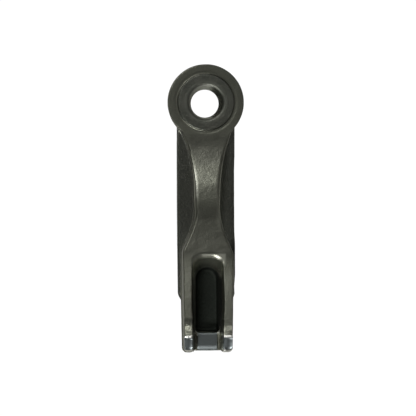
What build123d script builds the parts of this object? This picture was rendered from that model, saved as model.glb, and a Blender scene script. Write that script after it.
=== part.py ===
from build123d import *
import math
import os

os.makedirs("parts", exist_ok=True)

# ---------------------------------------------------------------------------
# Forged steel finger rocker arm, one piece.
# Frame (mm): the origin is on the eye axis at the throat of the ball seat, 1.5
# below the raised seat face. The eye axis is Z, the arm runs along -Y to the
# valve end, and +Z is the side that faces the pivot ball and the valve stem.
# The heights below are counted from the apex of the cam slipper; the finished
# body is moved down by the height of the throat at the end.
# ---------------------------------------------------------------------------

# eye
eye_r = 10.05               # flash land round the eye
eye_back_z = 2.9
eye_face_z = 10.0           # forged annular shoulder
seat_face_r = 7.4           # turned raised face
seat_face_z = 10.6
seat_edge_r = 0.25
seat_base_r = 0.3
throat_z = 9.1              # level of the row's origin
seat_lip_r = 1.12           # rounded rim that the pivot ball bears on
throat_r = 4.2              # bore just below the rim
taper_end_z = 5.418         # the bore narrows down to here
oil_bore_r = 3.7            # plain bore through the back of the eye
bore_chamfer = 0.3

# slipper flange
slipper_width = 15.0
slipper_r = 80.0            # cam face
slipper_apex_y = -28.2
slipper_start_y = -9.6
slipper_end_y = -52.4
flange_front_mid_z = 5.1
flange_front_end_z = 6.9
slipper_corner_x = 0.95
slipper_corner_y = 1.7
slipper_edge = 0.35

# forging parting line
flash_z = 8.8
flash_half = 0.28           # half thickness of the trimmed flash land
flash_proud = 0.24          # how far the land stands out of the flanks
draft_upper = 3.0
draft_lower = 4.0

# rib and fork, half widths measured at the flash land
neck_half = 3.38
neck_top_y = -23.0
neck_bottom_y = -27.3
rib_arc_r = 38.0
flare_arc_r = 18.2
flare_angle = 25.0
eye_blend_r = 5.0
fork_half = 6.80
shoulder_extra = 0.60       # the +X shoulder is fuller than the -X one
shoulder_r = 3.2
fork_even_y = -51.5
tip_y = -65.7
tip_corner_r = 1.3
crest_edge_r = 0.5

# crest of rib and fork, (Y, Z) pairs from the eye to the ears
crest = [
    (-9.6, 10.00),
    (-14.0, 10.36),
    (-18.5, 11.33),
    (-21.5, 12.05),
    (-25.5, 12.52),
    (-31.0, 12.58),
    (-35.0, 12.94),
    (-39.5, 13.52),
    (-46.0, 14.28),
    (-52.5, 14.98),
    (-57.0, 15.20),
]
ear_dip_y = -59.6
ear_dip_z = 14.74
ear_top_y = -60.9
ear_top_z = 14.50
ear_round_y = -64.3         # the ear top turns over to the end face here
ear_end_z = 13.2

# ground step and facet on each ear
step_y = -61.05
facet_y = -61.60
facet_z = 14.19
facet_mid = (-63.1, 14.12)
facet_end = (-64.6, 13.88)

# pocket between the prongs, drafted walls
pocket_floor_z = 6.6
pocket_half_floor = 2.72
wall_slope = 0.18          # outward run of the side walls per mm of height
end_slope = 0.51            # the end wall lies back further
low_slope = 0.14
pocket_end_floor_y = -44.0
pocket_low_floor_y = -60.05
pocket_floor_r = 1.0
pocket_end_corner_r = 2.4
pocket_low_corner_r = 1.25
pocket_rim_r = 0.5
pocket_top_z = 16.4

# valve pad
pad_z = 9.8
pad_half = 2.58
pad_crown_y = -62.3         # the crown starts to fall away here
pad_end_y = -65.25
pad_end_z = 9.25
relief_depth = 0.55
relief_start_y = -61.1

# back of the valve end
tip_back_z = 5.4
tip_back_r = 1.5


def slipper_z(y):
    """Height of the cam face above its apex plane."""
    return slipper_r - math.sqrt(slipper_r ** 2 - (y - slipper_apex_y) ** 2)


def gap_half(z):
    """Half distance between the prong walls at height z."""
    return pocket_half_floor + wall_slope * (z - pocket_floor_z)


# ---------------------------------------------------------------------------
# plan outline of the forging at the flash land: eye, rib and fork
# ---------------------------------------------------------------------------
def side_points(sign, extra):
    """Outline stations of one side, from the eye to the valve end."""
    a = math.radians(flare_angle)

    def rib_x(y):
        return neck_half + rib_arc_r - math.sqrt(
            rib_arc_r ** 2 - (y - neck_top_y) ** 2)

    def flare_pt(angle):
        return (neck_half + flare_arc_r * (1 - math.cos(angle)),
                neck_bottom_y - flare_arc_r * math.sin(angle))

    arc_end = flare_pt(a)
    run = (fork_half + extra - arc_end[0]) / math.tan(a)
    pts = {
        "start": (rib_x(-7.1), -7.1),
        "mid": (rib_x(-14.5), -14.5),
        "neck_top": (neck_half, neck_top_y),
        "neck_bottom": (neck_half, neck_bottom_y),
        "arc_mid": flare_pt(a / 2),
        "arc_end": arc_end,
        "corner": (fork_half + extra, arc_end[1] - run),
        "even": (fork_half, fork_even_y),
        "tip": (fork_half - 0.22, tip_y),
    }
    return {k: (sign * v[0], v[1]) for k, v in pts.items()}


left = side_points(-1, 0.0)
right = side_points(1, shoulder_extra)

with BuildSketch() as plan:
    with BuildLine():
        for side in (left, right):
            ThreePointArc(side["start"], side["mid"], side["neck_top"])
            Line(side["neck_top"], side["neck_bottom"])
            ThreePointArc(side["neck_bottom"], side["arc_mid"], side["arc_end"])
            Line(side["arc_end"], side["corner"])
            Line(side["corner"], side["even"])
            Line(side["even"], side["tip"])
        Line(left["tip"], right["tip"])
        Line(left["start"], right["start"])
    make_face()
    Circle(eye_r)
    joins = [v for v in plan.vertices()
             if -8.4 < v.Y < -6.0 and 5.0 < abs(v.X) < 8.0]
    fillet(joins, radius=eye_blend_r)
    shoulders = [v for v in plan.vertices()
                 if -41.5 < v.Y < -37.5 and abs(v.X) > 6.0]
    fillet(shoulders, radius=shoulder_r)
    evens = [v for v in plan.vertices()
             if abs(v.Y - fork_even_y) < 0.1 and v.X > 0]
    fillet(evens, radius=40.0)
    tips = [v for v in plan.vertices() if v.Y < -65.0]
    fillet(tips, radius=tip_corner_r)

with BuildSketch() as plan_inner:
    add(plan.sketch)
    offset(amount=-flash_proud, kind=Kind.INTERSECTION, mode=Mode.REPLACE)

# ---------------------------------------------------------------------------
# upper half of the forging, above the flash land, cut to the crest line
# ---------------------------------------------------------------------------
with BuildPart() as upper:
    with BuildSketch(Plane.XY.offset(flash_z)):
        add(plan_inner.sketch)
    extrude(amount=8.0, taper=draft_upper)
    with BuildSketch(Plane.YZ):
        with BuildLine():
            Line((12.0, eye_face_z), crest[0])
            Spline(crest, tangents=[(-1.0, 0.0), (-1.0, 0.0)])
            Spline([crest[-1], (ear_dip_y, ear_dip_z), (ear_top_y, ear_top_z)],
                   tangents=[(-1.0, 0.0), (-1.0, 0.0)])
            Line((ear_top_y, ear_top_z), (ear_round_y, ear_top_z))
            ThreePointArc((ear_round_y, ear_top_z),
                          (ear_round_y - 1.02, ear_top_z - 0.36),
                          (tip_y, ear_end_z))
            Line((tip_y, ear_end_z), (tip_y - 1.0, 8.0))
            Line((tip_y - 1.0, 8.0), (12.0, 8.0))
            Line((12.0, 8.0), (12.0, eye_face_z))
        make_face()
    extrude(amount=14.0, both=True, mode=Mode.INTERSECT)
    # die radius along the crest edges
    rim = [e for e in upper.edges()
           if min(v.Z for v in e.vertices()) > eye_face_z - 0.05
           and (abs(e.center().X) > 2.8 or e.center().Y > 5.0)
           and not (e.geom_type == GeomType.LINE and abs(e.tangent_at(0.5).X) > 0.9)]
    fillet(rim, radius=crest_edge_r)

# ---------------------------------------------------------------------------
# lower half of the forging, down to the eye back
# ---------------------------------------------------------------------------
with BuildPart() as lower:
    with BuildSketch(Plane.XY.offset(flash_z)):
        add(plan_inner.sketch)
    extrude(amount=-(flash_z - eye_back_z), taper=draft_lower)
    back_rim = lower.faces().sort_by(Axis.Z)[0].edges()
    fillet(back_rim, radius=0.9)

# ---------------------------------------------------------------------------
# slipper flange: convex ground cam face, almost flat forged front
# ---------------------------------------------------------------------------
with BuildPart() as flange:
    with BuildSketch(Plane.YZ):
        with BuildLine():
            Line((-6.0, flange_front_end_z), (-6.0, eye_back_z))
            Line((-6.0, eye_back_z), (slipper_start_y, eye_back_z))
            Line((slipper_start_y, eye_back_z),
                 (slipper_start_y, slipper_z(slipper_start_y)))
            ThreePointArc((slipper_start_y, slipper_z(slipper_start_y)),
                          (slipper_apex_y, 0.0),
                          (slipper_end_y, slipper_z(slipper_end_y)))
            Line((slipper_end_y, slipper_z(slipper_end_y)),
                 (slipper_end_y, flange_front_end_z))
            ThreePointArc((slipper_end_y, flange_front_end_z),
                          (slipper_apex_y, flange_front_mid_z),
                          (-6.0, flange_front_end_z))
        make_face()
    extrude(amount=slipper_width / 2, both=True)
    ends = [e for e in flange.edges().filter_by(Axis.Z)
            if abs(e.center().Y - slipper_end_y) < 0.01]
    for e_sign in (-1, 1):
        one = [e for e in ends if e.center().X * e_sign > 0]
        side_face = [f for f in flange.faces()
                     if abs(f.center().X - e_sign * slipper_width / 2) < 0.01][0]
        chamfer(one, length=slipper_corner_y, length2=slipper_corner_x,
                reference=side_face)
    long_front = [e for e in flange.edges()
                  if abs(abs(e.center().X) - slipper_width / 2) < 0.02
                  and e.length > 20 and e.center().Z > 3.5]
    fillet(long_front, radius=0.45)
    long_back = [e for e in flange.edges()
                 if abs(abs(e.center().X) - slipper_width / 2) < 0.02
                 and e.length > 20 and e.center().Z < 3.0]
    chamfer(long_back, length=slipper_edge)

# ---------------------------------------------------------------------------
# pocket tool: drafted walls, rounded floor
# ---------------------------------------------------------------------------
def pocket_outline(z):
    """Closed outline of the pocket at height z."""
    h = gap_half(z)
    up = z - pocket_floor_z
    y_end = pocket_end_floor_y + end_slope * up
    y_low = pocket_low_floor_y - low_slope * up
    rc = pocket_low_corner_r + 0.1 * up
    re = pocket_end_corner_r + 0.06 * up
    c = y_end - re
    qe = re * (1 - math.sqrt(0.5))
    q = rc * (1 - math.sqrt(0.5))
    Line((-h, y_low + rc), (-h, c))
    ThreePointArc((-h, c), (-h + qe, y_end - qe), (-h + re, y_end))
    Line((-h + re, y_end), (h - re, y_end))
    ThreePointArc((h - re, y_end), (h - qe, y_end - qe), (h, c))
    Line((h, c), (h, y_low + rc))
    ThreePointArc((h, y_low + rc), (h - q, y_low + q), (h - rc, y_low))
    Line((h - rc, y_low), (-h + rc, y_low))
    ThreePointArc((-h + rc, y_low), (-h + q, y_low + q), (-h, y_low + rc))


with BuildPart() as pocket:
    with BuildSketch(Plane.XY.offset(pocket_floor_z)):
        with BuildLine():
            pocket_outline(pocket_floor_z)
        make_face()
    with BuildSketch(Plane.XY.offset(pocket_top_z)):
        with BuildLine():
            pocket_outline(pocket_top_z)
        make_face()
    loft(ruled=True)
    floor_edges = pocket.faces().sort_by(Axis.Z)[0].edges()
    fillet(floor_edges, radius=pocket_floor_r)

# open gap between the ears above the pad, same drafted walls
with BuildPart() as ear_gap:
    with BuildSketch(Plane.XZ.offset(57.0)):
        Polygon((-gap_half(pad_z), pad_z), (gap_half(pad_z), pad_z),
                (gap_half(pocket_top_z), pocket_top_z),
                (-gap_half(pocket_top_z), pocket_top_z), align=None)
    extrude(amount=12.0)

# ground step and facet on the ears
with BuildPart() as ear_step:
    with BuildSketch(Plane.YZ):
        with BuildLine():
            Line((step_y + 0.25, 15.6), (step_y, ear_top_z))
            Line((step_y, ear_top_z), (facet_y, facet_z))
            ThreePointArc((facet_y, facet_z), facet_mid, facet_end)
            Line(facet_end, (tip_y - 2.0, 13.2))
            Line((tip_y - 2.0, 13.2), (tip_y - 2.0, 15.6))
            Line((tip_y - 2.0, 15.6), (step_y + 0.25, 15.6))
        make_face()
    extrude(amount=9.0, both=True)


with BuildPart() as forging:
    add(upper.part)
    add(lower.part)
    with BuildSketch(Plane.XY.offset(flash_z - flash_half)):
        add(plan.sketch)
    extrude(amount=2 * flash_half)
    add(flange.part)
    # raised seat face with its base radius
    with BuildSketch(Plane.XZ):
        with BuildLine():
            Line((0, 9.0), (0, seat_face_z))
            Line((0, seat_face_z), (seat_face_r - seat_edge_r, seat_face_z))
            ThreePointArc((seat_face_r - seat_edge_r, seat_face_z),
                          (seat_face_r - seat_edge_r * (1 - math.sqrt(0.5)),
                           seat_face_z - seat_edge_r * (1 - math.sqrt(0.5))),
                          (seat_face_r, seat_face_z - seat_edge_r))
            Line((seat_face_r, seat_face_z - seat_edge_r),
                 (seat_face_r, eye_face_z + seat_base_r))
            ThreePointArc((seat_face_r, eye_face_z + seat_base_r),
                          (seat_face_r + seat_base_r * (1 - math.sqrt(0.5)),
                           eye_face_z + seat_base_r * (1 - math.sqrt(0.5))),
                          (seat_face_r + seat_base_r, eye_face_z))
            Line((seat_face_r + seat_base_r, eye_face_z),
                 (seat_face_r + seat_base_r, 9.0))
            Line((seat_face_r + seat_base_r, 9.0), (0, 9.0))
        make_face()
    revolve(axis=Axis.Z)
    # back of the valve end, relieved behind the slipper
    with BuildSketch(Plane.YZ):
        with BuildLine():
            q = tip_back_r * (1 - math.sqrt(0.5))
            Line((slipper_end_y, -1.0), (slipper_end_y, tip_back_z - tip_back_r))
            ThreePointArc((slipper_end_y, tip_back_z - tip_back_r),
                          (slipper_end_y - q, tip_back_z - q),
                          (slipper_end_y - tip_back_r, tip_back_z))
            Line((slipper_end_y - tip_back_r, tip_back_z), (tip_y - 3, tip_back_z))
            Line((tip_y - 3, tip_back_z), (tip_y - 3, -1.0))
            Line((tip_y - 3, -1.0), (slipper_end_y, -1.0))
        make_face()
    extrude(amount=12.0, both=True, mode=Mode.SUBTRACT)
    # nothing of the forging stands below the cam face arc
    with BuildSketch(Plane.YZ):
        with BuildLine():
            ThreePointArc((slipper_start_y, slipper_z(slipper_start_y)),
                          (slipper_apex_y, 0.0),
                          (slipper_end_y, slipper_z(slipper_end_y)))
            Line((slipper_end_y, slipper_z(slipper_end_y)), (slipper_end_y, -2.0))
            Line((slipper_end_y, -2.0), (slipper_start_y, -2.0))
            Line((slipper_start_y, -2.0),
                 (slipper_start_y, slipper_z(slipper_start_y)))
        make_face()
    extrude(amount=12.0, both=True, mode=Mode.SUBTRACT)
    add(pocket.part, mode=Mode.SUBTRACT)
    add(ear_gap.part, mode=Mode.SUBTRACT)
    # die radius round the pocket mouth and along the ears
    rim = [e for e in forging.edges()
           if abs(e.center().X) < 4.9 and -64.4 < e.center().Y < -39
           and e.center().Z > 12.4]
    fillet(rim, radius=pocket_rim_r)
    add(ear_step.part, mode=Mode.SUBTRACT)
    # ends of the ears, broken on the inside
    for sgn in (-1, 1):
        with BuildSketch(Plane.XY.offset(4.0)):
            Polygon((sgn * 3.0, -64.95), (sgn * 4.75, -66.0),
                    (sgn * 3.0, -66.0), align=None)
        extrude(amount=11.0, mode=Mode.SUBTRACT)
    # ball seat and bore
    lip_z = seat_face_z - seat_lip_r
    with BuildSketch(Plane.XZ):
        with BuildLine():
            Line((0, 1.0), (oil_bore_r + bore_chamfer, 1.0))
            Line((oil_bore_r + bore_chamfer, 1.0),
                 (oil_bore_r + bore_chamfer, eye_back_z))
            Line((oil_bore_r + bore_chamfer, eye_back_z),
                 (oil_bore_r, eye_back_z + bore_chamfer))
            Line((oil_bore_r, eye_back_z + bore_chamfer),
                 (oil_bore_r, taper_end_z))
            Line((oil_bore_r, taper_end_z), (throat_r, lip_z))
            q = seat_lip_r * (1 - math.sqrt(0.5))
            ThreePointArc((throat_r, lip_z), (throat_r + q, seat_face_z - q),
                          (throat_r + seat_lip_r, seat_face_z))
            Line((throat_r + seat_lip_r, seat_face_z),
                 (throat_r + seat_lip_r, 12.0))
            Line((throat_r + seat_lip_r, 12.0), (0, 12.0))
            Line((0, 12.0), (0, 1.0))
        make_face()
    revolve(axis=Axis.Z, mode=Mode.SUBTRACT)
    # crowned valve pad: the crown and the end between the ears
    with BuildSketch(Plane.YZ):
        with BuildLine():
            Line((pad_crown_y, pad_z), (pad_crown_y, pad_z + 0.3))
            Line((pad_crown_y, pad_z + 0.3), (tip_y - 1, pad_z + 0.3))
            Line((tip_y - 1, pad_z + 0.3), (tip_y - 1, 4.0))
            Line((tip_y - 1, 4.0), (pad_end_y, 4.0))
            Line((pad_end_y, 4.0), (pad_end_y, pad_end_z - 0.3))
            Line((pad_end_y, pad_end_z - 0.3), (pad_end_y + 0.25, pad_end_z + 0.05))
            ThreePointArc((pad_end_y + 0.25, pad_end_z + 0.05),
                          (pad_crown_y - 1.45, pad_z - 0.13),
                          (pad_crown_y, pad_z))
        make_face()
    extrude(amount=gap_half(pad_z) - 0.02, both=True, mode=Mode.SUBTRACT)
    # relief grooves each side of the pad
    for sgn in (-1, 1):
        x0 = sgn * (pad_half + 0.03)
        x1 = sgn * gap_half(pad_z - relief_depth)
        with BuildSketch(Plane.XZ.offset(-relief_start_y)):
            Polygon((x0, pad_z + 0.4), (x0, pad_z - relief_depth),
                    (x1, pad_z - relief_depth),
                    (sgn * gap_half(pad_z + 0.4), pad_z + 0.4), align=None)
        extrude(amount=6.0, mode=Mode.SUBTRACT)
    lip = [e for e in forging.edges()
           if abs(e.center().X) < 3.6 and -60.9 < e.center().Y < -60.2
           and abs(e.center().Z - pad_z) < 0.05]
    fillet(lip, radius=0.25)

# origin to the throat of the seat
with BuildPart() as rocker_arm:
    with Locations((0.0, 0.0, -throat_z)):
        add(forging.part)

rocker_arm.part.label = "rocker_arm"
export_step(rocker_arm.part, "parts/rocker_arm.step")
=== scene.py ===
import bpy
import math
import numpy as np
from mathutils import Matrix, Vector


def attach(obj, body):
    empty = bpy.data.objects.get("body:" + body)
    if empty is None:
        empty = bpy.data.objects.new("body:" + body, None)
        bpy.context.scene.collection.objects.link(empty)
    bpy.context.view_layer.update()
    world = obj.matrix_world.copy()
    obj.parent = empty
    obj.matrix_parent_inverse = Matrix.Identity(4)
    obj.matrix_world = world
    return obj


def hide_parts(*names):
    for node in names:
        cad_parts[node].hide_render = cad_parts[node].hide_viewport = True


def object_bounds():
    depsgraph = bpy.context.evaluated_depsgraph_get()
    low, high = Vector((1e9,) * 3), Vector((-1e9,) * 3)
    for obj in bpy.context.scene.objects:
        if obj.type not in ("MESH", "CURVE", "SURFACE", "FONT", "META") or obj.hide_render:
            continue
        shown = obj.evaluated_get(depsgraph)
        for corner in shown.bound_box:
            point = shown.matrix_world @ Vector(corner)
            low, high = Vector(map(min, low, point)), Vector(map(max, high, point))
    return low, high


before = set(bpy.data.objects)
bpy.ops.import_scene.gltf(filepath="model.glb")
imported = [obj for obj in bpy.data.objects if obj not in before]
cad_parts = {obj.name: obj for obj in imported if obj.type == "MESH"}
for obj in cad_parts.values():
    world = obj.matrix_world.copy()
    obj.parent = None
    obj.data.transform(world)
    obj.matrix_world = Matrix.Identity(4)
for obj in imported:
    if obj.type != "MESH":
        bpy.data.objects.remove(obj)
cad_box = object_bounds()

# ---------------------------------------------------------------------------
# Rocker arm as one closed solid, described in millimetres by a distance field.
# x across, y along the arm (valve end at -y), z height above the apex of the
# cam slipper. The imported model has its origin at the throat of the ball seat,
# SEAT_Z up.
# ---------------------------------------------------------------------------
SEAT_Z = 9.1
EYE_R, EYE_BACK, EYE_FACE = 10.05, 2.9, 10.0
SEAT_FACE_R, SEAT_FACE_Z = 7.4, 10.6
BORE_R = 3.7
FLASH_Z, FLASH_HALF, FLASH_PROUD = 8.8, 0.28, 0.24
T3, T4 = math.tan(math.radians(3.0)), math.tan(math.radians(4.0))
SLIP_R, SLIP_Y, SLIP_START, SLIP_END = 80.0, -28.2, -9.6, -52.4
SLIP_HALF = 7.5
TIP_Y = -65.7
FLOOR_Z = 6.6
PAD_Z, PAD_HALF = 9.8, 2.58


def r_int(a, b, r):
    """Intersection of two solids with a convex round of radius r."""
    return (np.minimum(np.maximum(a, b), -r)
            + np.hypot(np.maximum(a + r, 0.0), np.maximum(b + r, 0.0)))


def r_uni(a, b, r):
    """Union of two solids with a concave fillet of radius r."""
    return (np.maximum(np.minimum(a, b), r)
            - np.hypot(np.maximum(r - a, 0.0), np.maximum(r - b, 0.0)))


def step(x, lo, hi):
    t = np.clip((x - lo) / (hi - lo), 0.0, 1.0)
    return t * t * (3.0 - 2.0 * t)


def corner_arc(p0, p1, p2, r, n=12):
    """Points of the fillet of radius r at p1 between p0-p1 and p1-p2."""
    p0, p1, p2 = (np.array(p, float) for p in (p0, p1, p2))
    u = (p0 - p1) / np.linalg.norm(p0 - p1)
    v = (p2 - p1) / np.linalg.norm(p2 - p1)
    half = 0.5 * math.acos(max(-1.0, min(1.0, float(u @ v))))
    m = (u + v) / np.linalg.norm(u + v)
    c = p1 + m * (r / math.sin(half))
    a0 = p1 + u * (r / math.tan(half)) - c
    a1 = p1 + v * (r / math.tan(half)) - c
    out = []
    for t in np.linspace(0.0, 1.0, n):
        d = a0 * (1 - t) + a1 * t
        out.append(tuple(c + d / np.linalg.norm(d) * r))
    return out


def side_outline(extra, fork):
    """Half width of eye joint, rib and fork against y, on the flash land."""
    neck, arc_r, flare_r = 3.38, 38.0, 18.2
    pts = []
    for y in np.linspace(-3.0, -6.9, 20):
        pts.append((math.sqrt(100.0 - 6.86 ** 2) + 0.25 * (y + 6.86) * 0.2, y))
    for y in np.linspace(-6.9, -8.36, 16):
        pts.append((10.92 - math.sqrt(25.0 - (y + 10.29) ** 2), y))
    for y in np.linspace(-8.4, -23.0, 60):
        pts.append((neck + arc_r - math.sqrt(arc_r ** 2 - (y + 23.0) ** 2), y))
    a = math.radians(25.0)
    for t in np.linspace(0.0, a, 40):
        pts.append((neck + flare_r * (1 - math.cos(t)), -27.3 - flare_r * math.sin(t)))
    end = pts[-1]
    corner = (fork + extra, end[1] - (fork + extra - end[0]) / math.tan(a))
    even, tip = (fork, -51.5), (fork - 0.22, TIP_Y)
    pts += corner_arc(end, corner, even, 3.2)
    pts += corner_arc(corner, even, tip, 40.0)
    pts += [tip, (fork - 0.25, TIP_Y - 2.0)]
    arr = np.array(pts)[::-1]
    ys = np.arange(TIP_Y - 1.5, -3.0, 0.02)
    ws = np.interp(ys, arr[:, 1], arr[:, 0])
    ker = np.ones(15) / 15.0
    ws = np.convolve(np.pad(ws, 7, mode="edge"), ker, mode="valid")
    return ys, ws, 1.0 / np.hypot(1.0, np.gradient(ws, ys))


LEFT = side_outline(0.0, 6.90)
RIGHT = side_outline(0.42, 6.82)
RIGHT[1][:] += np.interp(RIGHT[0], [-44.0, -41.0, -35.0, -32.0, -27.0, -22.0, -19.5, -10.0, -8.0],
                         [0.0, -0.20, -0.20, 0.0, 0.06, 0.26, 0.40, 0.36, 0.20])


def hermite(pts, ys):
    """Smooth curve through (y, value) points, level at both ends."""
    p = np.array(sorted(pts))
    y, v = p[:, 0], p[:, 1]
    h = np.diff(y)
    s = np.diff(v) / h
    m = np.zeros(len(y))
    m[1:-1] = (s[:-1] * h[1:] + s[1:] * h[:-1]) / (h[:-1] + h[1:])
    k = np.clip(np.searchsorted(y, ys) - 1, 0, len(y) - 2)
    t = np.clip((ys - y[k]) / h[k], 0.0, 1.0)
    t2, t3 = t * t, t ** 3
    return ((2 * t3 - 3 * t2 + 1) * v[k] + (t3 - 2 * t2 + t) * h[k] * m[k]
            + (-2 * t3 + 3 * t2) * v[k + 1] + (t3 - t2) * h[k] * m[k + 1])


CREST_Y = np.arange(-67.5, 12.0, 0.02)
CREST = hermite([
    (12.0, 10.0), (-9.2, 10.0), (-11.5, 10.09), (-14.0, 10.40), (-18.5, 11.36),
    (-21.5, 12.06), (-25.5, 12.52), (-31.0, 12.58), (-35.0, 12.94),
    (-39.5, 13.52), (-46.0, 14.28), (-52.5, 15.00), (-55.5, 15.17),
    (-57.7, 15.19), (-58.5, 15.11), (-59.1, 14.93), (-59.7, 14.70),
    (-60.2, 14.61), (-61.0, 14.48), (-67.5, 14.2)], CREST_Y)
CREST_K = 1.0 / np.hypot(1.0, np.gradient(CREST, CREST_Y))
# ground step and facet of the ears: the height that is left
EAR = np.interp(CREST_Y, [-67.5, -64.9, -64.5, -64.0, -63.0, -62.3, -61.65,
                          -61.5, -61.05, -60.9, 12.0],
                [12.4, 13.62, 13.84, 13.98, 14.10, 14.15, 14.16,
                 14.19, 14.44, 14.56, 60.0])
EAR = np.convolve(np.pad(EAR, 5, mode="edge"), np.ones(11) / 11.0, mode="valid")
EAR_K = 1.0 / np.hypot(1.0, np.gradient(EAR, CREST_Y))


def at(table, y):
    i = np.clip(((y - CREST_Y[0]) / 0.02), 0, len(CREST_Y) - 2)
    k = i.astype(np.int64)
    f = i - k
    return table[k] * (1 - f) + table[k + 1] * f


def side(y, x):
    i = np.clip((y - LEFT[0][0]) / 0.02, 0, len(LEFT[0]) - 2)
    k = i.astype(np.int64)
    f = i - k
    wl = LEFT[1][k] * (1 - f) + LEFT[1][k + 1] * f
    wr = RIGHT[1][k] * (1 - f) + RIGHT[1][k + 1] * f
    kl, kr = LEFT[2][k], RIGHT[2][k]
    neg = x < 0
    return (np.abs(x) - np.where(neg, wl, wr)) * np.where(neg, kl, kr)


def edge_radius(y, x):
    """Die radius along the crest edges."""
    left = np.interp(y, [-66.0, -61.4, -60.9, -57.0, -38.0, -31.5, -29.0, -22.0,
                         -19.2, -17.8, -11.0, -8.0, 12.0],
                     [0.28, 0.28, 0.42, 0.45, 0.40, 0.55, 0.85, 0.65,
                      0.50, 0.40, 0.60, 0.30, 0.14])
    right = np.interp(y, [-66.0, -61.4, -60.9, -31.0, -27.0, -22.0, -14.0, -8.0, 12.0],
                      [0.28, 0.28, 0.42, 0.45, 0.60, 0.90, 0.80, 0.20, 0.14])
    return np.where(x < 0, left, right)


def field(x, y, z):
    """Signed distance in mm, negative inside the steel."""
    rad = np.hypot(x, y)
    ax = np.abs(x)
    # plan of the forging
    p = np.minimum(rad - EYE_R,
                   r_int(np.maximum(side(y, x), y + 3.2), TIP_Y - y, 1.3))
    dz = z - FLASH_Z
    right = step(x, -0.5, 0.5)
    proud = (FLASH_PROUD - 0.10 * right) * (1 - 0.7 * step(y, -9.5, -6.5))
    lean = (1 - 0.6 * right) * (1 - 0.6 * step(y, -9.5, -6.5))
    steep = step(y, -12.5, -14.5) * step(y, -29.5, -26.5) * (1 - right)
    proud = proud * (1 - 0.85 * steep) * (1 - 0.9 * right * step(y, -12.0, -14.5) * step(y, -38.0, -34.0))
    lean = lean * (1 - 0.7 * steep)
    flank = p + proud + T3 * np.maximum(dz, 0) * lean + T4 * np.maximum(-dz, 0)
    # crest
    c = at(CREST, y) - 0.035 * step(rad, 8.45, 7.95)
    c = c - np.where(x < 0, 0.0042, 0.0026) * x * x * step(y, -37.0, -43.0)
    roll = np.where(x < 0, 1.4, 1.2)
    c = c - np.maximum(roll + flank, 0) ** 2 / 17.0 * step(y, -33.0, -27.0) * step(y, -13.0, -17.0)
    top = (z - c) * at(CREST_K, y)
    body = r_int(flank, top, edge_radius(y, x))
    body = r_int(body, EYE_BACK - z, 0.9)
    # slipper flange
    slip = np.hypot(y - SLIP_Y, z - SLIP_R) - SLIP_R
    front = 150.14 - np.hypot(y + 29.2, z - 155.2)
    cut = ((ax - (SLIP_HALF - 0.95)) * 1.7 + (SLIP_END - y) * 0.95) / math.hypot(1.7, 0.95)
    wide = np.where(x > 0, np.interp(y, [-52.4, -48.5, -45.5, -37.0, -34.0, -18.0, -14.0],
                                     [0.0, -0.10, 0.16, 0.24, 0.10, 0.12, 0.24]), 0.0)
    plate = r_int(ax - SLIP_HALF - wide, y + 6.0, 0.2)
    plate = r_int(plate, SLIP_END - y, 0.3)
    plate = r_int(plate, cut, 0.3)
    fl = r_int(plate, front, 0.45)
    fl = r_int(fl, slip, 0.30)
    fl = np.maximum(fl, -np.maximum(SLIP_START - y, z - EYE_BACK))
    foot = 0.06 + 0.34 * step(z, 3.7, 4.6)
    body = r_uni(body, fl, foot)
    # nothing stands below the cam face
    body = r_int(body, np.minimum(np.minimum(SLIP_START - y, slip), y - SLIP_END), 0.02)
    # back of the valve end
    tipback = r_int(y - SLIP_END, z - 5.4, 1.5)
    body = r_int(body, -tipback, 0.35)
    # trimmed flash land
    land = r_int(p, np.abs(dz) - FLASH_HALF, 0.10)
    body = r_uni(body, land, 0.10)
    # raised seat face
    seat = r_int(rad - SEAT_FACE_R, z - SEAT_FACE_Z, 0.17)
    seat = np.maximum(seat, 8.0 - z)
    body = r_uni(body, seat, 0.25)
    # pocket
    up = z - FLOOR_Z
    gap = 2.72 + 0.18 * up - 0.30 * (step(y, -53.0, -57.5) * step(y, -61.6, -59.6)
                                     * step(z, 10.5, 13.0))
    end = -44.0 + 0.51 * up
    pk = r_int((ax - gap) * 0.984, (y - end) * 0.891, 2.8)
    pk = r_int(pk, (-60.05 - 0.14 * up) - y, 0.8 + 0.1 * np.clip(up, 0, 8))
    pocket = r_int(pk, FLOOR_Z - z, 0.5)
    rim = 0.32 + 0.76 * step(y, -42.7, -40.9)
    # gap above the pad, open towards the tip
    wall = (ax - gap) * 0.984
    pad_top = PAD_Z - 0.198 * np.maximum(-63.6 - y, 0) ** 2
    above = np.maximum(np.maximum(wall, pad_top - z), y + 57.0)
    beyond = np.maximum(ax - 3.385, y + 65.25)
    body = r_int(body, -pocket, rim)
    soft = 0.12 + 0.20 * step(z, 13.0, 14.0) \
        + 0.33 * step(y, -61.3, -60.8) * step(z, 12.0, 11.0)
    body = r_int(body, -above, soft)
    body = r_int(body, -beyond, 0.38)
    groove = np.maximum(np.maximum(PAD_HALF + 0.03 - ax, ax - gap - 0.01),
                        np.maximum(PAD_Z - 0.55 - z, y + 61.1))
    body = r_int(body, -groove, 0.10)
    # ears: ground step and facet, slightly dished, broken inner corners
    dish = 0.20 * np.clip(1.0 - ((ax - np.where(x < 0, 4.75, 5.5)) / 1.15) ** 2, -0.6, 1.0)
    dish = dish * step(y, -61.5, -62.0)
    ear = (z + dish - at(EAR, y)) * at(EAR_K, y)
    body = r_int(body, ear, 0.12 + 0.6 * step(y, -64.2, -64.9))
    brk = -0.515 * (ax - 3.0) - 0.857 * (y + 64.95)
    body = r_int(body, np.minimum(np.minimum(brk, z - 4.0), ax - 3.3), 0.18)
    # ball seat and oil bore
    bore = rad - BORE_R - 0.45 * np.clip((z - 3.4) / 6.1, 0, 1.0) - np.maximum(3.2 - z, 0) * 0.8
    body = r_int(body, -bore, 0.06 + 0.98 * step(z, 7.6, 8.8))
    return body


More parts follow.
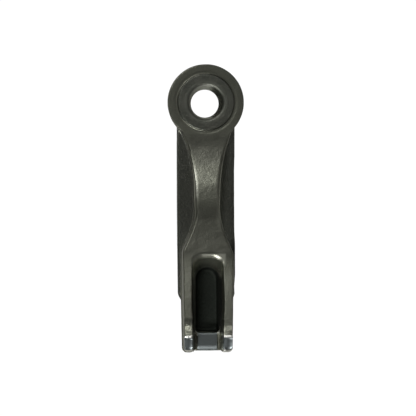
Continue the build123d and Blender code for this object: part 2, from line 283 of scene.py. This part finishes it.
def lattice(ix, iy, iz, seed):
    h = (ix * 73856093) ^ (iy * 19349663) ^ (iz * 83492791) ^ (seed * 2654435761)
    h = (h ^ (h >> 13)) * 1274126177
    h = h ^ (h >> 16)
    return ((h & 0xFFFF) / 32767.5) - 1.0


def value_noise(x, y, z, size, seed):
    x, y, z = x / size, y / size, z / size
    ix, iy, iz = (np.floor(v).astype(np.int64) for v in (x, y, z))
    fx, fy, fz = x - ix, y - iy, z - iz
    fx, fy, fz = (f * f * f * (f * (f * 6 - 15) + 10) for f in (fx, fy, fz))
    out = 0.0
    for a in (0, 1):
        for b in (0, 1):
            for c in (0, 1):
                w = ((fx if a else 1 - fx) * (fy if b else 1 - fy)
                     * (fz if c else 1 - fz))
                out = out + w * lattice(ix + a + 900, iy + b + 900, iz + c + 900, seed)
    return out


def masks(x, y, z):
    """Where the steel is turned, ground, or left as forged, and zones whose colour carries painted light or shade.
    """
    rad = np.hypot(x, y)
    ax = np.abs(x)
    seat = step(rad, 7.75, 7.5) * step(z, 9.9, 10.15)
    socket = step(rad, 5.75, 5.5) * step(z, 5.2, 5.5)
    bore = step(rad, 3.95, 3.8)
    ring = step(rad, 10.2, 9.9) * step(z, 9.6, 9.9)
    ear = step(y, -61.2, -61.6) * step(z, 13.3, 13.6) * step(y, -65.3, -64.9)
    # riser: ground steps of the ears and the ear tips; the bright colour is partly painted highlight
    riser = (step(y, -60.85, -61.0) * step(z, 14.1, 14.2) * step(y, -61.6, -61.45)
             + step(y, -64.6, -64.9) * step(z, 12.3, 12.8))
    pad = (step(ax, 2.66, 2.56) * step(z, 9.0, 9.25) * step(z, 9.95, 9.85)
           * step(y, -60.2, -60.45))
    slip = np.hypot(y - SLIP_Y, z - SLIP_R) - SLIP_R
    cam = step(np.abs(slip), 0.06, 0.03) * step(z, 4.2, 3.9)
    flange = step(z, 6.9, 6.4) * step(ax, 2.9, 3.2) * (1 - cam)
    # deep and base: the pocket's walls and floor, whose darkness is painted shade
    deep = (step(z, 13.4 - 4.2 * step(y, -46.0, -44.0), 12.2 - 4.6 * step(y, -46.0, -44.0)) * step(gap_out(x, y, z), 0.35, 0.05)
                * step(y, -60.6, -60.3)
            * (1 - step(y, -58.7, -59.1) * step(np.abs(z - 9.7), 0.7, 0.5)))
    go = gap_out(x, y, z)
    # endwall: the pocket's end wall, painted light
    endwall = (step(y, -46.5, -44.0) * step(go, 0.45, 0.15) * step(z, 8.0, 11.2)
               * step(z, 13.6, 13.0))
    # land: the -X flash land edge; its colour sets the strength of its highlight (painted light)
    land = (step(np.abs(z - FLASH_Z), 0.5, 0.3) * step(side(y, x), -0.16, -0.06)
            * step(y, -10.0, -14.0) * step(x, 0.5, -0.5))
    base = step(z, 8.3, 7.3) * step(go, 0.35, 0.05)
    # lip: edge of the pocket above the pad, painted highlight
    lip = (step(z, 9.1, 9.4) * step(z, 9.79, 9.74) * step(y, -60.95, -60.75)
           * step(y, -58.9, -59.2) * step(ax, 3.3, 3.15))
    # throat: -X side of the bore's mouth, painted reflection of the bright floor
    throat = step(rad, 4.75, 4.25) * step(x, 2.6, 0.8)
    shadow = step(rad, 5.6, 5.2) * step(x, 2.2, 3.4) * step(np.abs(y), 3.2, 1.6)
    # painted shade: a dark band across the -X prong
    painted_prong_shade = (step(y, -58.4, -57.7) * step(y, -56.1, -56.8) * step(z, 14.0, 14.5)
            * step(x, 0.0, -1.0))
    # painted shade on the upper rib and the fork shoulder
    painted_rib_shade = (step(y, -26.0, -28.5) * step(y, -42.0, -39.5)
            + step(y, -7.6, -9.0) * step(y, -18.5, -15.0)) * step(rad, 8.1, 8.5)
    # painted light on the +X side of the neck and the +X prong
    painted_right_side_light = step(x, 2.0, 3.0) * (step(y, -43.0, -46.0)
                                  + 0.8 * step(y, -23.5, -25.5) * step(y, -33.0, -31.0) * step(z, 11.5, 12.0))
    glint = (step(side(y, x), -1.25, -0.95) * step(x, 0.0, -1.0) * step(y, -15.5, -17.5)
             * step(y, -26.5, -24.0) * step(z, 10.8, 11.3))
    # painted highlight along the rim at the pocket's end
    painted_rim_highlight = (step(y, -43.4, -42.2) * step(y, -39.2, -40.0) * step(z, 12.9, 13.2)
            * step(go, 0.95, 0.50) * step(go, -1.1, -0.5) * step(x, -3.6, -1.0) * (0.45 + 0.55 * step(x, 2.0, 3.4)))
    shade = (step(x, 6.2, 6.8) * step(y, -35.0, -38.5) * step(z, 7.6, 7.0)
             + step(y, -7.0, -7.8) * step(y, -11.5, -10.0) * step(x, -5.6, -6.4) * step(rad, 9.6, 9.9)
             * step(z, 8.0, 8.6)
             + 0.5 * step(x, -6.9, -7.1) * step(y, -35.0, -38.5) * step(z, 7.6, 7.0))
    return (seat, socket, bore, ring, ear, riser, pad, cam, flange, deep, endwall, land,
            base, lip, throat, painted_prong_shade, painted_rib_shade, painted_right_side_light, shadow, glint, shade, painted_rim_highlight)


def ax_gap(x, gap):
    return np.abs(x) - gap


def gap_out(x, y, z):
    """How far a point stands outside the pocket walls."""
    up = z - FLOOR_Z
    gap = 2.72 + 0.18 * up
    end = -44.0 + 0.51 * up
    return np.maximum(ax_gap(x, gap), y - end)


def detailed(x, y, z):
    """The field with the small unevenness of a forged skin."""
    seat, socket, bore, ring, ear, riser, pad, cam, flange = masks(x, y, z)[:9]
    clean = np.clip(seat + socket + bore + ear + riser + pad + cam, 0, 1)
    amp = (1 - clean) * (1 - 0.6 * ring) * (1 - 0.4 * flange)
    n = (0.016 * value_noise(x, y, z, 2.6, 3)
         + 0.012 * value_noise(x, y, z, 1.1, 11))
    return field(x, y, z) + amp * n


def axis_steps(lo, hi, sizes):
    """Grid lines from lo to hi; sizes is a list of (from, step)."""
    out, v = [lo], lo
    while v < hi:
        s = [b for a, b in sizes if v >= a][-1]
        v += s
        out.append(v)
    return np.array(out)


def nets(d, gx, gy, gz):
    """Closed quad mesh of the zero surface of the sampled field."""
    s = d < 0
    cnt = np.zeros(tuple(n - 1 for n in d.shape), np.int8)
    for a in (0, 1):
        for b in (0, 1):
            for c in (0, 1):
                cnt += s[a:a + cnt.shape[0], b:b + cnt.shape[1], c:c + cnt.shape[2]]
    act = (cnt > 0) & (cnt < 8)
    ci, cj, ck = np.nonzero(act)
    index = -np.ones(act.shape, np.int64)
    index[act] = np.arange(len(ci))
    pos = np.zeros((len(ci), 3))
    num = np.zeros(len(ci))
    corners = [(a, b, c) for a in (0, 1) for b in (0, 1) for c in (0, 1)]
    for m, u in enumerate(corners):
        for w in corners[m + 1:]:
            if sum(abs(p - q) for p, q in zip(u, w)) != 1:
                continue
            da = d[ci + u[0], cj + u[1], ck + u[2]]
            db = d[ci + w[0], cj + w[1], ck + w[2]]
            hit = (da < 0) != (db < 0)
            t = np.where(hit, da / np.where(hit, da - db, 1.0), 0.0)
            pa = np.stack([gx[ci + u[0]], gy[cj + u[1]], gz[ck + u[2]]], 1)
            pb = np.stack([gx[ci + w[0]], gy[cj + w[1]], gz[ck + w[2]]], 1)
            pos += np.where(hit[:, None], pa + t[:, None] * (pb - pa), 0.0)
            num += hit
    pos /= num[:, None]
    quads = []
    # edges along x, y, z
    for axis in range(3):
        lo = [slice(1, -1)] * 3
        hi = [slice(1, -1)] * 3
        lo[axis] = slice(0, -1)
        hi[axis] = slice(1, None)
        s0, s1 = s[tuple(lo)], s[tuple(hi)]
        ei, ej, ek = np.nonzero(s0 != s1)
        off = [1, 1, 1]
        off[axis] = 0
        i, j, k = ei + off[0], ej + off[1], ek + off[2]
        out = s0[ei, ej, ek]
        if axis == 0:
            q = [index[i, j - 1, k - 1], index[i, j, k - 1], index[i, j, k], index[i, j - 1, k]]
        elif axis == 1:
            q = [index[i - 1, j, k - 1], index[i - 1, j, k], index[i, j, k], index[i, j, k - 1]]
        else:
            q = [index[i - 1, j - 1, k], index[i, j - 1, k], index[i, j, k], index[i - 1, j, k]]
        q = np.stack(q, 1)
        q[~out] = q[~out][:, ::-1]
        quads.append(q)
    return pos, np.concatenate(quads)


def gradient(fn, p, h):
    g = np.empty_like(p)
    for a in range(3):
        e = np.zeros(3)
        e[a] = h
        g[:, a] = (fn(*(p + e).T) - fn(*(p - e).T)) / (2 * h)
    return g


gx = axis_steps(-10.35, 10.35, [(-99, 0.235)])
gy = axis_steps(-66.1, 10.35, [(-99, 0.17), (-59.3, 0.235)])
gz = axis_steps(-0.25, 15.5, [(-99, 0.24), (9.0, 0.22)])
grid = np.empty((len(gx), len(gy), len(gz)))
for i in range(0, len(gy), 40):
    X, Y, Z = np.meshgrid(gx, gy[i:i + 40], gz, indexing="ij")
    grid[:, i:i + 40, :] = field(X, Y, Z)
verts, quads = nets(grid, gx, gy, gz)
start = verts.copy()
for _ in range(4):
    d = detailed(*verts.T)
    g = gradient(detailed, verts, 0.02)
    verts = verts - (d / np.maximum((g * g).sum(1), 0.25))[:, None] * g
    verts = start + np.clip(verts - start, -0.2, 0.2)
normals = gradient(detailed, verts, 0.035)
normals /= np.linalg.norm(normals, axis=1)[:, None]
lo = np.array(cad_box[0]) * 1000.0 + np.array([0, 0, SEAT_Z])
hi = np.array(cad_box[1]) * 1000.0 + np.array([0, 0, SEAT_Z])
verts = np.clip(verts, lo, hi)
print("arm mesh", len(verts), "points", 2 * len(quads), "triangles",
      "worst", float(np.abs(detailed(*verts.T)).max()))

mesh = bpy.data.meshes.new("rocker_arm_forging")
world = (verts - np.array([0, 0, SEAT_Z])) / 1000.0
mesh.vertices.add(len(world))
mesh.vertices.foreach_set("co", world.astype(np.float32).ravel())
mesh.loops.add(quads.size)
mesh.loops.foreach_set("vertex_index", quads.astype(np.int32).ravel())
mesh.polygons.add(len(quads))
mesh.polygons.foreach_set("loop_start", np.arange(0, quads.size, 4, dtype=np.int32))
mesh.polygons.foreach_set("use_smooth", np.ones(len(quads), bool))
mesh.update(calc_edges=True)
mesh.validate()
mesh.normals_split_custom_set_from_vertices([tuple(n) for n in normals])
names = ("seat", "socket", "bore", "ring", "ear", "riser", "pad", "cam", "flange",
         "deep", "endwall", "land", "base", "lip", "throat", "painted_prong_shade",
         "painted_rib_shade", "painted_right_side_light", "shadow", "glint", "shade", "painted_rim_highlight")
for name, m in zip(names, masks(*verts.T)):
    att = mesh.attributes.new(name, "FLOAT", "POINT")
    att.data.foreach_set("value", np.clip(m, 0, 1).astype(np.float32))
arm = bpy.data.objects.new("forged_rocker_arm", mesh)
bpy.context.scene.collection.objects.link(arm)
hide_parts("rocker_arm")
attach(arm, "root")

# ---------------------------------------------------------------------------
# steel
# ---------------------------------------------------------------------------
mat = bpy.data.materials.new("forged_steel_skin")
mat.use_nodes = True
nt = mat.node_tree
nt.nodes.clear()
out = nt.nodes.new("ShaderNodeOutputMaterial")
bsdf = nt.nodes.new("ShaderNodeBsdfPrincipled")
nt.links.new(bsdf.outputs[0], out.inputs[0])


def put(sock, v):
    if hasattr(v, "node"):
        nt.links.new(v, sock)
    else:
        sock.default_value = v


def attr(name):
    n = nt.nodes.new("ShaderNodeAttribute")
    n.attribute_name = name
    return n.outputs["Fac"]


def math_node(op, a, b=None, clamp=False):
    n = nt.nodes.new("ShaderNodeMath")
    n.operation = op
    n.use_clamp = clamp
    put(n.inputs[0], a)
    if b is not None:
        put(n.inputs[1], b)
    return n.outputs[0]


def mix(fac, a, b):
    n = nt.nodes.new("ShaderNodeMix")
    n.data_type = "RGBA"
    put(n.inputs[0], fac)
    put(n.inputs[6], a)
    put(n.inputs[7], b)
    return n.outputs[2]


def mixf(fac, a, b):
    n = nt.nodes.new("ShaderNodeMix")
    n.data_type = "FLOAT"
    put(n.inputs[0], fac)
    put(n.inputs[2], a)
    put(n.inputs[3], b)
    return n.outputs[0]


def ramp(v, lo_in, hi_in, lo_out=0.0, hi_out=1.0):
    n = nt.nodes.new("ShaderNodeMapRange")
    put(n.inputs[0], v)
    for k, val in zip((1, 2, 3, 4), (lo_in, hi_in, lo_out, hi_out)):
        n.inputs[k].default_value = val
    return n.outputs[0]


coord = nt.nodes.new("ShaderNodeTexCoord").outputs["Object"]


def noise(scale, detail=3.0, rough=0.55, stretch=None):
    n = nt.nodes.new("ShaderNodeTexNoise")
    n.inputs["Scale"].default_value = scale
    n.inputs["Detail"].default_value = detail
    n.inputs["Roughness"].default_value = rough
    src = coord
    if stretch:
        mp = nt.nodes.new("ShaderNodeMapping")
        nt.links.new(coord, mp.inputs[0])
        mp.inputs["Scale"].default_value = stretch
        src = mp.outputs[0]
    nt.links.new(src, n.inputs["Vector"])
    return n.outputs["Fac"]


a_seat, a_socket, a_bore, a_ring = attr("seat"), attr("socket"), attr("bore"), attr("ring")
a_ear, a_riser, a_pad, a_cam, a_flange = (attr("ear"), attr("riser"), attr("pad"),
                                          attr("cam"), attr("flange"))
ground = math_node("MAXIMUM", math_node("MAXIMUM", a_ear, a_pad), a_cam)
turned = math_node("MAXIMUM", math_node("MAXIMUM", a_seat, a_socket), a_bore)

grain = noise(2600.0, 4.0, 0.65)
patch = noise(420.0, 3.0, 0.55)
cloud = noise(110.0, 2.0, 0.5)
pits = noise(1500.0, 2.0, 0.5)

forged = mix(ramp(grain, 0.3, 0.7), (0.222, 0.228, 0.184, 1), (0.298, 0.303, 0.250, 1))
forged = mix(ramp(patch, 0.35, 0.65, 0.0, 0.35), forged, (0.185, 0.190, 0.155, 1))
forged = mix(ramp(cloud, 0.35, 0.65, 0.0, 0.25), forged, (0.245, 0.247, 0.195, 1))
forged = mix(math_node("MULTIPLY", a_ring, 0.35), forged, (0.165, 0.170, 0.137, 1))
# painted shade on the upper rib and fork shoulder
forged = mix(attr("painted_rib_shade"), forged, (0.190, 0.193, 0.159, 1))
# painted light on the +X neck and +X prong
forged = mix(attr("painted_right_side_light"), forged, (0.315, 0.320, 0.264, 1))
across = nt.nodes.new("ShaderNodeSeparateXYZ")
nt.links.new(coord, across.inputs[0])
# flange colour, darker than the forged skin; the bright strip beside the rib on +X is painted light
plate = mix(ramp(across.outputs["X"], -0.002, 0.002), (0.135, 0.139, 0.119, 1),
            mix(ramp(across.outputs["X"], 0.0040, 0.0070), (0.40, 0.41, 0.355, 1),
                (0.145, 0.149, 0.128, 1)))
forged = mix(attr("glint"), forged, (0.42, 0.425, 0.36, 1))
col = mix(a_flange, forged, plate)
col = mix(attr("shade"), col, (0.060, 0.062, 0.053, 1))
a_deep = attr("deep")
# painted shade in the pocket: lighter towards -X, dark towards +X, darkest on the floor
painted_pocket_shade = mix(ramp(across.outputs["X"], -0.0022, 0.0026), (0.30, 0.31, 0.27, 1),
           (0.050, 0.053, 0.046, 1))
painted_pocket_shade = mix(attr("base"), painted_pocket_shade, (0.033, 0.038, 0.032, 1))
col = mix(a_deep, col, painted_pocket_shade)
# painted shade across the -X prong
col = mix(attr("painted_prong_shade"), col, (0.130, 0.133, 0.110, 1))
# painted light on the pocket's end wall
col = mix(attr("endwall"), col, (0.74, 0.75, 0.63, 1))
# painted highlight on the rim at the pocket's end
col = mix(attr("painted_rim_highlight"), col, (0.54, 0.545, 0.46, 1))
# painted light: colour setting the highlight on the -X flash land edge
col = mix(attr("land"), col, (0.22, 0.224, 0.19, 1))
col = mix(turned, col, mix(ramp(patch, 0.35, 0.65), (0.150, 0.158, 0.132, 1), (0.184, 0.188, 0.160, 1)))
# painted reflection on the -X side of the bore's mouth
col = mix(attr("throat"), col, (0.80, 0.81, 0.73, 1))
col = mix(attr("shadow"), col, (0.140, 0.146, 0.124, 1))
# painted highlight on the pocket's lip
col = mix(attr("lip"), col, (0.98, 0.98, 0.92, 1))
col = mix(ground, col, (0.40, 0.445, 0.45, 1))
# ground steps and ear tips: ground steel, with brightness partly painted highlight
col = mix(a_riser, col, (0.82, 0.82, 0.77, 1))
put(bsdf.inputs["Base Color"], col)
bsdf.inputs["Metallic"].default_value = 1.0
rough = ramp(patch, 0.3, 0.7, 0.355, 0.395)
rough = mixf(a_flange, rough, 0.36)
rough = mixf(a_deep, rough, 0.60)
rough = mixf(turned, rough, 0.36)
rough = mixf(a_socket, rough, 0.46)
rough = mixf(attr("throat"), rough, 0.68)
rough = mixf(ground, rough, 0.34)
put(bsdf.inputs["Roughness"], rough)

amp = mixf(ramp(across.outputs["Y"], -0.045, -0.040), 1.3, 0.44)
amp = mixf(a_ring, amp, 0.40)
amp = mixf(turned, amp, 0.9)
amp = mixf(a_flange, amp, 0.9)
amp = mixf(ground, amp, 0.0)
amp = mixf(attr("painted_rim_highlight"), amp, 0.15)
uneven = math_node("ADD", math_node("SUBTRACT", grain, 0.5),
                   math_node("MULTIPLY", math_node("SUBTRACT", pits, 0.5), 0.8))
height = math_node("MULTIPLY", uneven, amp)
bump = nt.nodes.new("ShaderNodeBump")
bump.inputs["Strength"].default_value = 1.0
bump.inputs["Distance"].default_value = 0.00007
nt.links.new(height, bump.inputs["Height"])
nt.links.new(bump.outputs[0], bsdf.inputs["Normal"])
mesh.materials.append(mat)

# ---------------------------------------------------------------------------
# floor, lights, camera
# ---------------------------------------------------------------------------
bpy.ops.mesh.primitive_plane_add(size=6.0, location=(0, 0, -SEAT_Z / 1000.0 - 0.00005))
floor = bpy.context.active_object
floor.name = "floor"
fm = bpy.data.materials.new("floor_white")
fm.use_nodes = True
fn = fm.node_tree
fn.nodes.clear()
fo = fn.nodes.new("ShaderNodeOutputMaterial")
em = fn.nodes.new("ShaderNodeEmission")
em.inputs[0].default_value = (1, 1, 1, 1)
em.inputs[1].default_value = 1.05
dif = fn.nodes.new("ShaderNodeBsdfDiffuse")
dif.inputs[0].default_value = (0.8, 0.8, 0.77, 1)
lp = fn.nodes.new("ShaderNodeLightPath")
mx = fn.nodes.new("ShaderNodeMixShader")
fn.links.new(lp.outputs["Is Camera Ray"], mx.inputs[0])
fn.links.new(dif.outputs[0], mx.inputs[1])
fn.links.new(em.outputs[0], mx.inputs[2])
fn.links.new(mx.outputs[0], fo.inputs[0])
floor.data.materials.append(fm)

centre = Vector((0.0, -0.028, 0.002))


def softbox(name, azimuth, elevation, dist, size, watts):
    light = bpy.data.lights.new(name, "AREA")
    light.shape = "RECTANGLE"
    light.size, light.size_y = size
    light.energy = watts
    ob = bpy.data.objects.new(name, light)
    a, e = math.radians(azimuth), math.radians(elevation)
    d = Vector((math.cos(e) * math.cos(a), math.cos(e) * math.sin(a), math.sin(e)))
    ob.location = centre + d * dist
    ob.rotation_euler = d.to_track_quat("Z", "Y").to_euler()
    bpy.context.scene.collection.objects.link(ob)
    return ob


softbox("upper_left", 117.0, 56.0, 0.8, (0.24, 0.20), 1.35)
softbox("lower_left", 243.0, 43.0, 0.8, (0.24, 0.20), 2.7)
softbox("right_fill", 0.0, 48.0, 0.8, (0.9, 0.5), 0.34)

w = bpy.data.worlds.new("studio")
w.use_nodes = True
wn = w.node_tree
sky = wn.nodes.new("ShaderNodeTexCoord")
sep = wn.nodes.new("ShaderNodeSeparateXYZ")
hgt = wn.nodes.new("ShaderNodeMapRange")
hgt.interpolation_type = "SMOOTHSTEP"
for k, val in zip((1, 2, 3, 4), (0.2, 0.9, 0.02, 0.024)):
    hgt.inputs[k].default_value = val
wn.links.new(sky.outputs["Generated"], sep.inputs[0])
wn.links.new(sep.outputs["Z"], hgt.inputs[0])
wn.nodes["Background"].inputs[0].default_value = (0.97, 1.0, 0.90, 1)
wn.links.new(hgt.outputs[0], wn.nodes["Background"].inputs[1])
bpy.context.scene.world = w

PIX = 0.2625e-3
DIST = 0.52
yaw, pitch, roll = math.radians(2.9), math.radians(0.2), math.radians(0.38)
fwd = Vector((math.sin(yaw), math.sin(pitch), -1.0)).normalized()
right = Vector((math.cos(roll), -math.sin(roll), 0.0))
right = (right - right.dot(fwd) * fwd).normalized()
up = right.cross(fwd)
eye_px = Vector((205.9, 102.2))
eye = Vector((0.0, 0.0, (10.0 - SEAT_Z) / 1000.0))
aim = eye - right * ((eye_px.x - 208.0) * PIX) + up * ((eye_px.y - 208.0) * PIX)
cam_data = bpy.data.cameras.new("camera")
cam_data.sensor_width = 36.0
cam_data.lens = 36.0 * DIST / (416 * PIX)
cam_data.clip_start = 0.01
cam_data.clip_end = 20.0
cam = bpy.data.objects.new("camera", cam_data)
bpy.context.scene.collection.objects.link(cam)
m = Matrix((right, up, -fwd)).transposed().to_4x4()
m.translation = aim - fwd * DIST
cam.matrix_world = m
bpy.context.scene.camera = cam

view = bpy.context.scene.view_settings
view.view_transform = "Standard"
view.look = "None"
view.exposure = 0.0
view.gamma = 1.0
